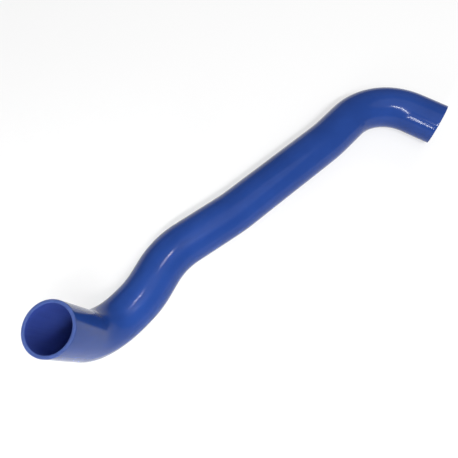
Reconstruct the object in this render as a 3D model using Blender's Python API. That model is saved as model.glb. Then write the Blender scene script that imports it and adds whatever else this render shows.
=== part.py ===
"""Silicone hose: one moulded tube that holds its bends, lying on its long run.

The frame has +Z up and the hose lying on the plane Z = 0. The far leg runs along +Y
into the hose, and the route then turns back and runs towards -X, where the last bend
lifts the mouth off the floor. The origin is at the bottom centre of the hose's box.
"""

import math

import bmesh
import bpy
from mathutils import Matrix, Vector

# Section of the tube, in metres
BORE_DIAMETER = 0.051
WALL = 0.004
RIM_EDGE_BREAK = 0.0004

# Straight stretches of the centreline, from the far end to the mouth, in metres
FAR_LEG = 0.041
AFTER_FAR_ELBOW = 0.036
LONG_RUN = 0.158
BEFORE_OFFSET = 0.069
INSIDE_OFFSET = 0.019
BEFORE_MOUTH_ELBOW = 0.008
MOUTH_STUB = 0.070

# Bend radii at the centreline, in metres
FAR_ELBOW_RADIUS = 0.080
FIRST_EASING_RADIUS = 0.240
SECOND_EASING_RADIUS = 0.215
OFFSET_RADIUS = 0.110
OFFSET_RETURN_RADIUS = 0.130
MOUTH_ELBOW_RADIUS = 0.060

# Bend angles in degrees, positive to the left of someone walking towards the mouth
FAR_ELBOW_ANGLE = 77.0
FIRST_EASING_ANGLE = -6.0
SECOND_EASING_ANGLE = -5.0
OFFSET_ANGLE = 27.5
OFFSET_RETURN_ANGLE = -14.5
MOUTH_ELBOW_ANGLE = 79.0

# The mouth elbow's plane is turned about the centreline by this angle, where 90 is upright
MOUTH_ELBOW_LEAN = 94.0

# Fineness of the faceted surface
SIDES = 48
LARGEST_BEND_STEP = 7.5

# Finish
HOSE_BLUE = (0.035, 0.082, 0.330, 1.0)
HOSE_ROUGHNESS = 0.28

OUTER_RADIUS = BORE_DIAMETER / 2 + WALL
BORE_RADIUS = BORE_DIAMETER / 2
SHARP_EDGE_ANGLE = math.radians(40)


def clear_scene():
    for leftover in list(bpy.data.objects):
        bpy.data.objects.remove(leftover)


def silicone():
    """The blue rubber that the whole hose is moulded from."""
    material = bpy.data.materials.new("blue_silicone")
    material.use_nodes = True
    shader = material.node_tree.nodes["Principled BSDF"]
    shader.inputs["Base Color"].default_value = HOSE_BLUE
    shader.inputs["Roughness"].default_value = HOSE_ROUGHNESS
    shader.inputs["Metallic"].default_value = 0.0
    return material


class Sweep:
    """Grows a tube by carrying its end section along the route, one stretch at a time."""

    def __init__(self, start, heading, left):
        self.mesh = bmesh.new()
        self.place = start
        self.heading = heading
        self.left = left
        self.section = self.first_section()

    def first_section(self):
        """A flat ring of rubber square to the heading: the cut face of the far end."""
        up = self.heading.cross(self.left)
        turn = Matrix((self.left, up, self.heading)).transposed().to_4x4()
        stand = Matrix.Translation(self.place) @ turn
        edges = []
        for radius in (OUTER_RADIUS, BORE_RADIUS):
            ring = bmesh.ops.create_circle(self.mesh, segments=SIDES, radius=radius, matrix=stand)
            edges += list({edge for point in ring["verts"] for edge in point.link_edges})
        bmesh.ops.bridge_loops(self.mesh, edges=edges)
        return list(self.mesh.verts) + list(self.mesh.edges) + list(self.mesh.faces)

    def straight(self, length):
        self.section = bmesh.ops.extrude_face_region(self.mesh, geom=self.section)["geom"]
        points = [item for item in self.section if isinstance(item, bmesh.types.BMVert)]
        bmesh.ops.translate(self.mesh, verts=points, vec=self.heading * length)
        self.place = self.place + self.heading * length

    def bend(self, radius, angle, lean=0.0):
        """Turns left by angle degrees, in a plane that leans out of the floor by lean degrees."""
        inward = Matrix.Rotation(math.radians(lean), 3, self.heading) @ self.left
        axis = self.heading.cross(inward)
        centre = self.place + inward * math.copysign(radius, angle)
        steps = max(2, math.ceil(abs(angle) / LARGEST_BEND_STEP))
        self.section = bmesh.ops.spin(
            self.mesh,
            geom=self.section,
            cent=centre,
            axis=axis,
            angle=math.radians(angle),
            steps=steps,
        )["geom_last"]
        turn = Matrix.Rotation(math.radians(angle), 3, axis)
        self.place = centre + turn @ (self.place - centre)
        self.heading = turn @ self.heading
        self.left = turn @ self.left


def break_rim_edges(mesh):
    """Takes the sharpness off the two edges of each cut face."""
    mesh.normal_update()
    rims = [edge for edge in mesh.edges if edge.calc_face_angle(0.0) > SHARP_EDGE_ANGLE]
    bmesh.ops.bevel(mesh, geom=rims, offset=RIM_EDGE_BREAK, segments=1, affect="EDGES")


def stand_on_origin(mesh):
    """Moves the tube so that the bottom centre of its box is the origin."""
    low = Vector([min(point.co[axis] for point in mesh.verts) for axis in range(3)])
    high = Vector([max(point.co[axis] for point in mesh.verts) for axis in range(3)])
    base = Vector(((low.x + high.x) / 2, (low.y + high.y) / 2, low.z))
    bmesh.ops.translate(mesh, verts=mesh.verts, vec=-base)


def hose():
    """The whole hose: a tube of one section, swept along its straights and bends."""
    tube = Sweep(
        start=Vector((0.0, 0.0, OUTER_RADIUS)),
        heading=Vector((0.0, 1.0, 0.0)),
        left=Vector((-1.0, 0.0, 0.0)),
    )
    tube.straight(FAR_LEG)
    tube.bend(FAR_ELBOW_RADIUS, FAR_ELBOW_ANGLE)
    tube.straight(AFTER_FAR_ELBOW)
    tube.bend(FIRST_EASING_RADIUS, FIRST_EASING_ANGLE)
    tube.straight(LONG_RUN)
    tube.bend(SECOND_EASING_RADIUS, SECOND_EASING_ANGLE)
    tube.straight(BEFORE_OFFSET)
    tube.bend(OFFSET_RADIUS, OFFSET_ANGLE)
    tube.straight(INSIDE_OFFSET)
    tube.bend(OFFSET_RETURN_RADIUS, OFFSET_RETURN_ANGLE)
    tube.straight(BEFORE_MOUTH_ELBOW)
    tube.bend(MOUTH_ELBOW_RADIUS, MOUTH_ELBOW_ANGLE, MOUTH_ELBOW_LEAN)
    tube.straight(MOUTH_STUB)

    bmesh.ops.recalc_face_normals(tube.mesh, faces=tube.mesh.faces)
    break_rim_edges(tube.mesh)
    stand_on_origin(tube.mesh)

    shape = bpy.data.meshes.new("hose")
    tube.mesh.to_mesh(shape)
    tube.mesh.free()
    shape.shade_smooth()
    shape.set_sharp_from_angle(angle=SHARP_EDGE_ANGLE)
    shape.materials.append(silicone())
    placed = bpy.data.objects.new("hose", shape)
    bpy.context.scene.collection.objects.link(placed)


clear_scene()
hose()
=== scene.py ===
"""The silicone hose as it looks: a glossy blue skin, a plainer bore and two cut rims, on a pale floor.

The frame is the part's own, in metres with +Z up. The far leg enters along +Y at +X, the
long run lies on the floor towards -X, and the last elbow lifts the mouth.
"""
import math

import bpy
from mathutils import Matrix, Vector

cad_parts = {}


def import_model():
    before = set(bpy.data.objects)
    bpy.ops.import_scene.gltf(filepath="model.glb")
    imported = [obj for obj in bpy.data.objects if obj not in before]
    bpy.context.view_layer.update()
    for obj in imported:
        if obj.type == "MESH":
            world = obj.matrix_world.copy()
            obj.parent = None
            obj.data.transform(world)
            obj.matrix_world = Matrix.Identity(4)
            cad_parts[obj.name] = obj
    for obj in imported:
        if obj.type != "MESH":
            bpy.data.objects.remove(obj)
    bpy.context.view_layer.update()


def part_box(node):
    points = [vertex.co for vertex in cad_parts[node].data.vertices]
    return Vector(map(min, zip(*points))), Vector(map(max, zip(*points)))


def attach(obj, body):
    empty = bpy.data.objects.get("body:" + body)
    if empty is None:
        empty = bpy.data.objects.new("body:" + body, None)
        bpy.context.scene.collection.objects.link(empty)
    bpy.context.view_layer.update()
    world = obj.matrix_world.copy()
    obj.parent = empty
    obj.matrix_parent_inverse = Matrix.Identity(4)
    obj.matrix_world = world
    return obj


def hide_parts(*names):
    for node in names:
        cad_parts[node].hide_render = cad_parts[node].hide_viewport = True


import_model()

# The tube's section, in metres
BORE_DIAMETER = 0.051
WALL = 0.004
LIP_ROUNDING = 0.0007
BORE_RADIUS = BORE_DIAMETER / 2
OUTER_RADIUS = BORE_RADIUS + WALL

# The route from the far end to the mouth: straight lengths in metres, and bends as
# radius in metres, angle in degrees (positive to the left) and lean out of the floor
ROUTE = (
    ("straight", 0.041),
    ("bend", 0.080, 77.0, 0.0),
    ("straight", 0.036),
    ("bend", 0.240, -6.0, 0.0),
    ("straight", 0.158),
    ("bend", 0.215, -5.0, 0.0),
    ("straight", 0.069),
    ("bend", 0.110, 27.5, 0.0),
    ("straight", 0.019),
    ("bend", 0.130, -14.5, 0.0),
    ("straight", 0.008),
    ("bend", 0.060, 79.0, 94.0),
    ("straight", 0.070),
)
ROUTE_STEP = 0.001
ROUTE_LENGTH = sum(
    stretch[1] if stretch[0] == "straight" else stretch[1] * math.radians(abs(stretch[2]))
    for stretch in ROUTE
)

# Fineness of the surface
SIDES = 160
SKIN_RING_SPACING = 0.0022
BORE_RING_SPACING = 0.006
LIP_ROUNDING_STEPS = 3

# The slow dips that the wrapping leaves in the skin, in metres
DIP_DEPTH = 0.0003
DIP_SIZE = 0.045
DIP_DETAIL = 0.0

# Camera: angles in degrees, distances in metres and the lens in millimetres
CAMERA_AZIMUTH = -59.47
CAMERA_ELEVATION = 66.17
CAMERA_DISTANCE = 0.6309
CAMERA_AIM = Vector((-0.03926, 0.04004, OUTER_RADIUS))
CAMERA_LENS = 36.84
CAMERA_CLIP_START = 0.01

# The glossy skin: colours, roughness, and the sizes and heights of its unevenness in metres.
# A pattern's range is the stretch of its noise over which one look turns into the other.
SKIN_DEEP = (0.0127, 0.0430, 0.204, 1.0)
SKIN_PALE = (0.0160, 0.0510, 0.233, 1.0)
SKIN_MOTTLE_SIZE = 0.055
SKIN_MOTTLE_DETAIL = 3.0
SKIN_MOTTLE_RANGE = (0.3, 0.7)
SKIN_GLOSSY = 0.12
SKIN_HAZY = 0.17
SKIN_HAZE_SIZE = 0.040
SKIN_HAZE_DETAIL = 4.0
SKIN_HAZE_RANGE = (0.35, 0.75)
PEEL_SIZE = 0.0045
PEEL_DETAIL = 1.0
PEEL_HEIGHT = 0.000003
NIB_SPACING = 0.014
NIB_RADIUS = 0.0006
NIB_HEIGHT = 0.000005

# The bore, drawn off its mandrel
BORE_DEEP = (0.034, 0.061, 0.290, 1.0)
BORE_PALE = (0.039, 0.069, 0.315, 1.0)
BORE_ROUGHNESS = 0.42
DRAW_LINE_WIDTH = 0.0016
DRAW_LINE_STRETCH = (1.0, 1.0, 0.03)
DRAW_LINE_HEIGHT = 0.000006

# The cut rims
RIM_DEEP = (0.040, 0.071, 0.225, 1.0)
RIM_PALE = (0.053, 0.087, 0.262, 1.0)
RIM_ROUGHNESS = 0.50
KNIFE_LINE_WIDTH = 0.0007
KNIFE_LINE_STRETCH = (1.0, 0.06, 0.0)
KNIFE_LINE_HEIGHT = 0.000015

# The lines along the bore and across the rims
LINE_DETAIL = 3.0
LINE_RANGE = (0.3, 0.7)

# The gloss that the three finishes share
SILICONE_IOR = 1.41
SILICONE_SPECULAR = 0.27

# The floor, and the share of plain white laid over it for the camera and in gloss
FLOOR_WHITE = (0.88, 0.88, 0.88, 1.0)
FLOOR_LIGHTENING = 0.60
FLOOR_ROUGHNESS = 0.9
FLOOR_HALF_WIDTH = 12.0

# The colour of the light from all round and of the white laid over the floor
WHITE = (1.0, 1.0, 1.0, 1.0)
WORLD_LIGHT = 0.225

# All lamps have places, aims and sizes in metres, beams in degrees, powers in watts, and
# brightness in watts for each square metre and steradian

# The beams that glint on the offset bends: name, place, aim, beam, brightness
GLINT_LAMPS = (
    ("glint_lamp_near", (-0.162, 0.040, 0.354), (-0.183, 0.081, 0.058), 3.8, 200.0),
    ("glint_lamp_middle", (-0.064, 0.015, 0.345), (-0.122, 0.080, 0.058), 3.6, 240.0),
)
GLINT_LAMP_SIZE = 0.03

# The tube lamps that streak the far leg, end to end in two rows: ends, width, brightness
TUBE_ROWS = (
    (
        ((-0.45, -1.30, 2.10), (-0.80, -1.05, 2.10), (-1.05, -0.80, 2.05), (-1.65, -0.37, 1.63)),
        0.10,
        80.0,
    ),
    (
        ((-1.95, -0.12, 1.30), (-2.10, -0.20, 0.95), (-2.15, -0.30, 0.75)),
        0.08,
        62.0,
    ),
)
TUBE_AIM = (0.243, -0.10, 0.048)

# The beam that lights the mouth, and the dim panel over the long run
MOUTH_LAMP = (-0.24, -0.62, 2.02)
MOUTH_LAMP_AIM = (-0.266, 0.085, 0.149)
MOUTH_LAMP_SIZE = 0.5
MOUTH_LAMP_BEAM = 14.0
MOUTH_LAMP_BRIGHTNESS = 50.0
PANEL_LAMP = (-0.10, -0.70, 2.40)
PANEL_LAMP_SIZE = 2.6
PANEL_LAMP_POWER = 12.8

# The soft lamps, which aren't seen in gloss: name, place, size, power
SOFT_LAMPS = (
    ("soft_lamp_main", (-0.71, -0.71, 1.73), 0.8, 7.6),
    ("soft_lamp_side", (1.68, 0.0, 1.09), 0.8, 4.5),
)
SOFT_LAMP_AIM = (0.0, 0.0, 0.0)


def add_node(tree, kind, inputs=None, **settings):
    """Adds a node, and gives each named input a value or wires a socket to it."""
    node = tree.nodes.new(kind)
    for name, value in settings.items():
        setattr(node, name, value)
    for name, value in (inputs or {}).items():
        if isinstance(value, bpy.types.NodeSocket):
            tree.links.new(value, node.inputs[name])
        else:
            node.inputs[name].default_value = value
    return node


def maths(tree, operation, *terms):
    """A Math node on the given terms."""
    node = add_node(tree, "ShaderNodeMath", dict(enumerate(terms)), operation=operation)
    return node.outputs[0]


def vector_maths(tree, operation, *terms):
    """A Vector Math node on the given terms."""
    node = add_node(tree, "ShaderNodeVectorMath", dict(enumerate(terms)), operation=operation)
    return node.outputs[0]


def scaled(tree, vector, factor):
    """A vector times a number."""
    node = add_node(tree, "ShaderNodeVectorMath", {0: vector, "Scale": factor}, operation="SCALE")
    return node.outputs[0]


def eased(tree, value, start, end):
    """0 before start, 1 after end, and smooth between them."""
    limits = {"Value": value, "From Min": start, "From Max": end}
    return add_node(tree, "ShaderNodeMapRange", limits, interpolation_type="SMOOTHSTEP").outputs["Result"]


def between(tree, factor, first, second):
    """The first number at factor 0, and the second at 1."""
    return add_node(tree, "ShaderNodeMix", {0: factor, 2: first, 3: second}, data_type="FLOAT").outputs[0]


def mixed(tree, factor, first, second):
    """The first colour at factor 0, and the second at 1."""
    return add_node(tree, "ShaderNodeMix", {0: factor, 6: first, 7: second}, data_type="RGBA").outputs[2]


def noise(tree, vector, size, detail):
    """Noise from 0 to 1, with blotches of about the given size."""
    inputs = {"Vector": vector, "Scale": maths(tree, "DIVIDE", 1.0, size), "Detail": detail}
    return add_node(tree, "ShaderNodeTexNoise", inputs).outputs[0]


def level(tree, vector):
    """A vector without its Z."""
    return vector_maths(tree, "MULTIPLY", vector, (1.0, 1.0, 0.0))


def radius_about_z(tree, place):
    """How far a place is from the Z axis."""
    flat = level(tree, place)
    return add_node(tree, "ShaderNodeVectorMath", {0: flat}, operation="LENGTH").outputs["Value"]


def position(tree):
    """Where each point is."""
    return add_node(tree, "GeometryNodeInputPosition").outputs[0]


def moved(tree, geometry, **change):
    """A geometry with its points set to a new Position, or moved by an Offset."""
    return add_node(tree, "GeometryNodeSetPosition", {"Geometry": geometry, **change}).outputs[0]


def route_points():
    """Points a step apart along the centreline, placed from the hose's box."""
    low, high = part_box("hose")
    place = Vector((high.x - OUTER_RADIUS, low.y, OUTER_RADIUS))
    heading = Vector((0.0, 1.0, 0.0))
    left = Vector((-1.0, 0.0, 0.0))
    points = [place.copy()]
    for stretch in ROUTE:
        if stretch[0] == "straight":
            length = stretch[1]
            steps = max(1, round(length / ROUTE_STEP))
            start = place
            for step in range(1, steps + 1):
                points.append(start + heading * length * step / steps)
            place = points[-1].copy()
            continue
        radius, angle, lean = stretch[1:]
        inward = Matrix.Rotation(math.radians(lean), 3, heading) @ left
        axis = heading.cross(inward)
        centre = place + inward * math.copysign(radius, angle)
        arm = place - centre
        steps = max(2, round(abs(math.radians(angle)) * radius / ROUTE_STEP))
        for step in range(1, steps + 1):
            turn = Matrix.Rotation(math.radians(angle) * step / steps, 3, axis)
            points.append(centre + turn @ arm)
        place = points[-1].copy()
        heading = turn @ heading
        left = turn @ left
    return points


def route_object(points):
    """The centreline as a curve of short straight pieces."""
    curve = bpy.data.curves.new("hose_route", "CURVE")
    curve.dimensions = "3D"
    spline = curve.splines.new("POLY")
    spline.points.add(len(points) - 1)
    for point, place in zip(spline.points, points):
        point.co = (*place, 1.0)
    route = bpy.data.objects.new("hose_route", curve)
    bpy.context.scene.collection.objects.link(route)
    return route


def wall_section(tree, given, length):
    """The wall's section, along the sleeve in Y and out from the bore in X, cut to the rings' spacing."""
    section = add_node(
        tree, "GeometryNodeCurvePrimitiveQuadrilateral", {"Width": given["Wall"], "Height": length}
    ).outputs[0]
    rounded = add_node(
        tree,
        "GeometryNodeFilletCurve",
        {"Curve": section, "Count": LIP_ROUNDING_STEPS, "Radius": given["Lip rounding"]},
        mode="POLY",
    ).outputs[0]
    corners = add_node(
        tree, "GeometryNodeAttributeDomainSize", {"Geometry": rounded}, component="CURVE"
    ).outputs["Point Count"]
    place = position(tree)
    index = add_node(tree, "GeometryNodeInputIndex").outputs[0]
    following = maths(tree, "MODULO", maths(tree, "ADD", index, 1.0), corners)
    next_place = add_node(
        tree, "GeometryNodeFieldAtIndex", {"Value": place, "Index": following}, data_type="FLOAT_VECTOR"
    ).outputs[0]
    gap = add_node(
        tree, "ShaderNodeVectorMath", {0: place, 1: next_place}, operation="DISTANCE"
    ).outputs["Value"]
    across = add_node(tree, "ShaderNodeSeparateXYZ", {0: place}).outputs["X"]
    outside = maths(tree, "GREATER_THAN", across, 0.0)
    spacing_change = maths(tree, "SUBTRACT", given["Skin ring spacing"], given["Bore ring spacing"])
    spacing = maths(tree, "MULTIPLY_ADD", outside, spacing_change, given["Bore ring spacing"])
    cuts = maths(tree, "SUBTRACT", maths(tree, "CEIL", maths(tree, "DIVIDE", gap, spacing)), 1.0)
    return add_node(tree, "GeometryNodeSubdivideCurve", {"Curve": rounded, "Cuts": cuts}).outputs[0]


def straight_sleeve(tree, given, length, middle_radius):
    """The section turned round Z, from the far end at Z = 0 up to the mouth, with X to the left."""
    circle = add_node(
        tree, "GeometryNodeCurvePrimitiveCircle", {"Resolution": given["Sides"], "Radius": middle_radius}
    ).outputs[0]
    section = wall_section(tree, given, length)
    sleeve = add_node(
        tree, "GeometryNodeCurveToMesh", {"Curve": circle, "Profile Curve": section}
    ).outputs[0]
    half_length = maths(tree, "MULTIPLY", length, 0.5)
    lift = add_node(tree, "ShaderNodeCombineXYZ", {"Z": half_length}).outputs[0]
    return moved(tree, sleeve, Offset=lift)


def with_coordinates(tree, sleeve):
    """The straight sleeve with its own coordinates kept, for the materials to read."""
    return add_node(
        tree,
        "GeometryNodeStoreNamedAttribute",
        {"Geometry": sleeve, "Name": "sleeve", "Value": position(tree)},
        data_type="FLOAT_VECTOR",
        domain="POINT",
    ).outputs[0]


def dipped(tree, given, sleeve, middle_radius):
    """The sleeve with slow dips in its skin, which never rises above the true radius."""
    place = position(tree)
    outer_radius = maths(tree, "ADD", given["Bore radius"], given["Wall"])
    on_skin = eased(tree, radius_about_z(tree, place), middle_radius, outer_radius)
    sunk = maths(tree, "SUBTRACT", noise(tree, place, given["Dip size"], DIP_DETAIL), 1.0)
    dip = maths(tree, "MULTIPLY", maths(tree, "MULTIPLY", sunk, on_skin), given["Dip depth"])
    outward = vector_maths(tree, "NORMALIZE", level(tree, place))
    return moved(tree, sleeve, Offset=scaled(tree, outward, dip))


def bent_to_route(tree, given, sleeve):
    """Each ring of the sleeve set on the route, square to it."""
    place = add_node(tree, "ShaderNodeSeparateXYZ", {0: position(tree)}).outputs
    on_route = add_node(
        tree, "GeometryNodeSampleCurve", {"Curves": given["Route"], "Length": place["Z"]}, mode="LENGTH"
    ).outputs
    left = scaled(tree, on_route["Normal"], -1.0)
    up = vector_maths(tree, "CROSS_PRODUCT", on_route["Tangent"], left)
    arm = vector_maths(tree, "ADD", scaled(tree, left, place["X"]), scaled(tree, up, place["Y"]))
    return moved(tree, sleeve, Position=vector_maths(tree, "ADD", on_route["Position"], arm))


def sleeve_tree():
    """Geometry Nodes: the wall's section is turned to a straight sleeve, then bent to the route."""
    tree = bpy.data.node_groups.new("moulded_sleeve", "GeometryNodeTree")
    tree.is_modifier = True
    sockets = (
        ("Route", "INPUT", "NodeSocketGeometry"),
        ("Bore radius", "INPUT", "NodeSocketFloat"),
        ("Wall", "INPUT", "NodeSocketFloat"),
        ("Lip rounding", "INPUT", "NodeSocketFloat"),
        ("Sides", "INPUT", "NodeSocketInt"),
        ("Skin ring spacing", "INPUT", "NodeSocketFloat"),
        ("Bore ring spacing", "INPUT", "NodeSocketFloat"),
        ("Dip depth", "INPUT", "NodeSocketFloat"),
        ("Dip size", "INPUT", "NodeSocketFloat"),
        ("Silicone", "INPUT", "NodeSocketMaterial"),
        ("Hose", "OUTPUT", "NodeSocketGeometry"),
    )
    for name, direction, kind in sockets:
        tree.interface.new_socket(name, in_out=direction, socket_type=kind)
    given = add_node(tree, "NodeGroupInput").outputs

    length = add_node(tree, "GeometryNodeCurveLength", {"Curve": given["Route"]}).outputs["Length"]
    middle_radius = maths(tree, "MULTIPLY_ADD", given["Wall"], 0.5, given["Bore radius"])
    sleeve = straight_sleeve(tree, given, length, middle_radius)
    sleeve = with_coordinates(tree, sleeve)
    sleeve = dipped(tree, given, sleeve, middle_radius)
    hose = bent_to_route(tree, given, sleeve)
    hose = add_node(tree, "GeometryNodeSetShadeSmooth", {"Geometry": hose}).outputs[0]
    hose = add_node(tree, "GeometryNodeRealizeInstances", {"Geometry": hose}).outputs[0]
    silicone = {"Geometry": hose, "Material": given["Silicone"]}
    hose = add_node(tree, "GeometryNodeSetMaterial", silicone).outputs[0]
    add_node(tree, "NodeGroupOutput", {"Hose": hose})
    return tree


def give(modifier, values):
    """Sets a Geometry Nodes modifier's named inputs, each by its socket's identifier."""
    identifiers = {
        socket.name: socket.identifier
        for socket in modifier.node_group.interface.items_tree
        if socket.in_out == "INPUT"
    }
    for name, value in values.items():
        modifier[identifiers[name]] = value


def skin_finish(tree, place):
    """The glossy outside: slow mottle and haze, a faint orange peel and a few small nibs."""
    mottle = noise(tree, place, SKIN_MOTTLE_SIZE, SKIN_MOTTLE_DETAIL)
    colour = mixed(tree, eased(tree, mottle, *SKIN_MOTTLE_RANGE), SKIN_DEEP, SKIN_PALE)
    haze = eased(tree, noise(tree, place, SKIN_HAZE_SIZE, SKIN_HAZE_DETAIL), *SKIN_HAZE_RANGE)
    roughness = between(tree, haze, SKIN_GLOSSY, SKIN_HAZY)
    cells = add_node(tree, "ShaderNodeTexVoronoi", {"Vector": place, "Scale": 1.0 / NIB_SPACING})
    off_nib = eased(tree, cells.outputs["Distance"], 0.0, NIB_RADIUS / NIB_SPACING)
    peel = maths(tree, "MULTIPLY", noise(tree, place, PEEL_SIZE, PEEL_DETAIL), PEEL_HEIGHT)
    height = maths(tree, "MULTIPLY_ADD", off_nib, -NIB_HEIGHT, peel)
    return colour, roughness, height


def bore_finish(tree, sleeve):
    """The plainer inside, with faint lines drawn along it by the mandrel."""
    stretched = vector_maths(tree, "MULTIPLY", sleeve, DRAW_LINE_STRETCH)
    lines = noise(tree, stretched, DRAW_LINE_WIDTH, LINE_DETAIL)
    colour = mixed(tree, eased(tree, lines, *LINE_RANGE), BORE_DEEP, BORE_PALE)
    return colour, BORE_ROUGHNESS, maths(tree, "MULTIPLY", lines, DRAW_LINE_HEIGHT)


def rim_finish(tree, sleeve):
    """The cut ends: paler and duller, with the knife's fine lines across them."""
    stretched = vector_maths(tree, "MULTIPLY", sleeve, KNIFE_LINE_STRETCH)
    lines = noise(tree, stretched, KNIFE_LINE_WIDTH, LINE_DETAIL)
    colour = mixed(tree, eased(tree, lines, *LINE_RANGE), RIM_DEEP, RIM_PALE)
    return colour, RIM_ROUGHNESS, maths(tree, "MULTIPLY", lines, KNIFE_LINE_HEIGHT)


def blue_silicone():
    """Moulded silicone with its three finishes, told apart by the sleeve's own coordinates."""
    material = bpy.data.materials.new("moulded_blue_silicone")
    material.use_nodes = True
    tree = material.node_tree
    shader = tree.nodes["Principled BSDF"]
    sleeve = add_node(tree, "ShaderNodeAttribute", attribute_name="sleeve").outputs["Vector"]
    place = add_node(tree, "ShaderNodeTexCoord").outputs["Object"]
    on_skin = eased(tree, radius_about_z(tree, sleeve), BORE_RADIUS, BORE_RADIUS + LIP_ROUNDING)
    along = add_node(tree, "ShaderNodeSeparateXYZ", {0: sleeve}).outputs["Z"]
    from_end = maths(tree, "MINIMUM", along, maths(tree, "SUBTRACT", ROUTE_LENGTH, along))
    off_rim = eased(tree, from_end, 0.0, LIP_ROUNDING)

    bore_colour, bore_roughness, bore_height = bore_finish(tree, sleeve)
    skin_colour, skin_roughness, skin_height = skin_finish(tree, place)
    rim_colour, rim_roughness, rim_height = rim_finish(tree, sleeve)
    colour = mixed(tree, off_rim, rim_colour, mixed(tree, on_skin, bore_colour, skin_colour))
    roughness = between(tree, off_rim, rim_roughness, between(tree, on_skin, bore_roughness, skin_roughness))
    height = between(tree, off_rim, rim_height, between(tree, on_skin, bore_height, skin_height))
    bump = add_node(tree, "ShaderNodeBump", {"Height": height, "Strength": 1.0, "Distance": 1.0})
    tree.links.new(colour, shader.inputs["Base Color"])
    tree.links.new(roughness, shader.inputs["Roughness"])
    tree.links.new(bump.outputs["Normal"], shader.inputs["Normal"])
    shader.inputs["IOR"].default_value = SILICONE_IOR
    shader.inputs["Specular IOR Level"].default_value = SILICONE_SPECULAR
    return material


def moulded_hose():
    """The hose as one mesh, in place of the plain solid."""
    route = route_object(route_points())
    modifier = route.modifiers.new("moulded_sleeve", "NODES")
    modifier.node_group = sleeve_tree()
    sizes = {
        "Bore radius": BORE_RADIUS,
        "Wall": WALL,
        "Lip rounding": LIP_ROUNDING,
        "Sides": SIDES,
        "Skin ring spacing": SKIN_RING_SPACING,
        "Bore ring spacing": BORE_RING_SPACING,
        "Dip depth": DIP_DEPTH,
        "Dip size": DIP_SIZE,
        "Silicone": blue_silicone(),
    }
    give(modifier, sizes)
    graph = bpy.context.evaluated_depsgraph_get()
    shape = bpy.data.meshes.new_from_object(route.evaluated_get(graph), depsgraph=graph)
    bpy.data.objects.remove(route)
    shape.name = "moulded_hose"
    hose = bpy.data.objects.new("moulded_hose", shape)
    bpy.context.scene.collection.objects.link(hose)
    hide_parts("hose")
    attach(hose, "root")


def floor():
    """A pale floor that keeps the hose's shadow and looks nearly white to the camera and in gloss."""
    material = bpy.data.materials.new("pale_floor")
    material.use_nodes = True
    tree = material.node_tree
    shader = tree.nodes["Principled BSDF"]
    shader.inputs["Base Color"].default_value = FLOOR_WHITE
    shader.inputs["Roughness"].default_value = FLOOR_ROUGHNESS
    shader.inputs["Specular IOR Level"].default_value = 0.0
    path = add_node(tree, "ShaderNodeLightPath").outputs
    in_gloss = maths(tree, "MAXIMUM", path["Is Glossy Ray"], path["Is Transmission Ray"])
    seen = maths(tree, "MAXIMUM", path["Is Camera Ray"], in_gloss)
    share = maths(tree, "MULTIPLY", seen, FLOOR_LIGHTENING)
    white = add_node(tree, "ShaderNodeEmission", {"Color": WHITE, "Strength": 1.0}).outputs[0]
    lightened = add_node(tree, "ShaderNodeMixShader", {0: share, 1: shader.outputs[0], 2: white})
    tree.links.new(lightened.outputs[0], tree.nodes["Material Output"].inputs["Surface"])
    half = FLOOR_HALF_WIDTH
    corners = [(-half, -half, 0.0), (half, -half, 0.0), (half, half, 0.0), (-half, half, 0.0)]
    mesh = bpy.data.meshes.new("pale_floor")
    mesh.from_pydata(corners, [], [(0, 1, 2, 3)])
    mesh.materials.append(material)
    sheet = bpy.data.objects.new("pale_floor", mesh)
    bpy.context.scene.collection.objects.link(sheet)


def world():
    """Soft light from all round."""
    surroundings = bpy.data.worlds.new("studio")
    surroundings.use_nodes = True
    background = surroundings.node_tree.nodes["Background"]
    background.inputs["Color"].default_value = WHITE
    background.inputs["Strength"].default_value = WORLD_LIGHT
    bpy.context.scene.world = surroundings


def lamp(name, place, aim, size, power):
    """A round area lamp at a place, turned to its aim."""
    light = bpy.data.lights.new(name, "AREA")
    light.shape = "DISK"
    light.size = size
    light.energy = power
    held = bpy.data.objects.new(name, light)
    held.location = place
    held.rotation_euler = (Vector(aim) - Vector(place)).to_track_quat("-Z", "Y").to_euler()
    bpy.context.scene.collection.objects.link(held)
    return held


def beam_lamp(name, place, aim, size, beam, brightness):
    """A round lamp that the camera doesn't see, with a narrow beam and a brightness along its middle."""
    half = math.radians(beam) / 2
    share_of_open_lamp = 1 - half / math.tan(half)
    area = math.pi * (size / 2) ** 2
    held = lamp(name, place, aim, size, brightness * share_of_open_lamp * math.pi * area)
    held.data.spread = 2 * half
    held.visible_camera = False
    return held


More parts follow.
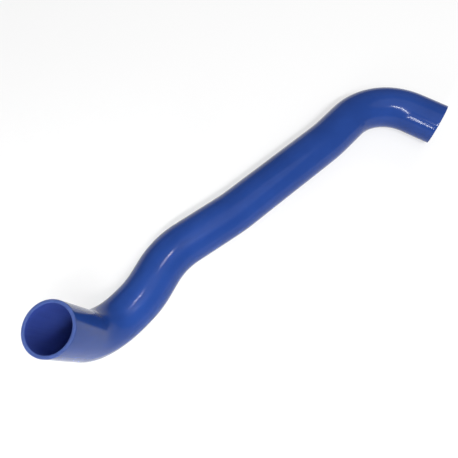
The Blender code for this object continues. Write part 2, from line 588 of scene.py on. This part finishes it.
def tube_lamp(name, start, end, aim, width, brightness):
    """A straight tube lamp from start to end, facing its aim."""
    start = Vector(start)
    end = Vector(end)
    length = (end - start).length
    light = bpy.data.lights.new(name, "AREA")
    light.shape = "RECTANGLE"
    light.size = length
    light.size_y = width
    light.energy = brightness * math.pi * length * width
    middle = (start + end) / 2
    along = (end - start).normalized()
    back = middle - Vector(aim)
    back = (back - along * back.dot(along)).normalized()
    turn = Matrix((along, back.cross(along), back)).transposed()
    held = bpy.data.objects.new(name, light)
    held.matrix_world = Matrix.Translation(middle) @ turn.to_4x4()
    bpy.context.scene.collection.objects.link(held)


def studio():
    """The glints' beams and tube lamps, a dim panel, the mouth's beam, and soft lamps."""
    for name, place, aim, beam, brightness in GLINT_LAMPS:
        beam_lamp(name, place, aim, GLINT_LAMP_SIZE, beam, brightness)
    for row, width, brightness in TUBE_ROWS:
        for start, end in zip(row, row[1:]):
            tube_lamp("tube_lamp", start, end, TUBE_AIM, width, brightness)
    lamp("panel_lamp", PANEL_LAMP, CAMERA_AIM, PANEL_LAMP_SIZE, PANEL_LAMP_POWER)
    mouth = beam_lamp(
        "mouth_lamp", MOUTH_LAMP, MOUTH_LAMP_AIM, MOUTH_LAMP_SIZE, MOUTH_LAMP_BEAM, MOUTH_LAMP_BRIGHTNESS
    )
    mouth.visible_glossy = False
    for name, place, size, power in SOFT_LAMPS:
        soft = lamp(name, place, SOFT_LAMP_AIM, size, power)
        soft.visible_glossy = False


def camera():
    """The photograph's view, from high up on the near side."""
    azimuth = math.radians(CAMERA_AZIMUTH)
    elevation = math.radians(CAMERA_ELEVATION)
    back = Vector((
        math.sin(azimuth) * math.cos(elevation),
        -math.cos(azimuth) * math.cos(elevation),
        math.sin(elevation),
    ))
    view = bpy.data.cameras.new("camera")
    view.lens = CAMERA_LENS
    view.clip_start = CAMERA_CLIP_START
    held = bpy.data.objects.new("camera", view)
    held.location = CAMERA_AIM + back * CAMERA_DISTANCE
    held.rotation_euler = (-back).to_track_quat("-Z", "Y").to_euler()
    bpy.context.scene.collection.objects.link(held)
    bpy.context.scene.camera = held


bpy.context.scene.view_settings.view_transform = "Standard"
camera()
moulded_hose()
floor()
world()
studio()
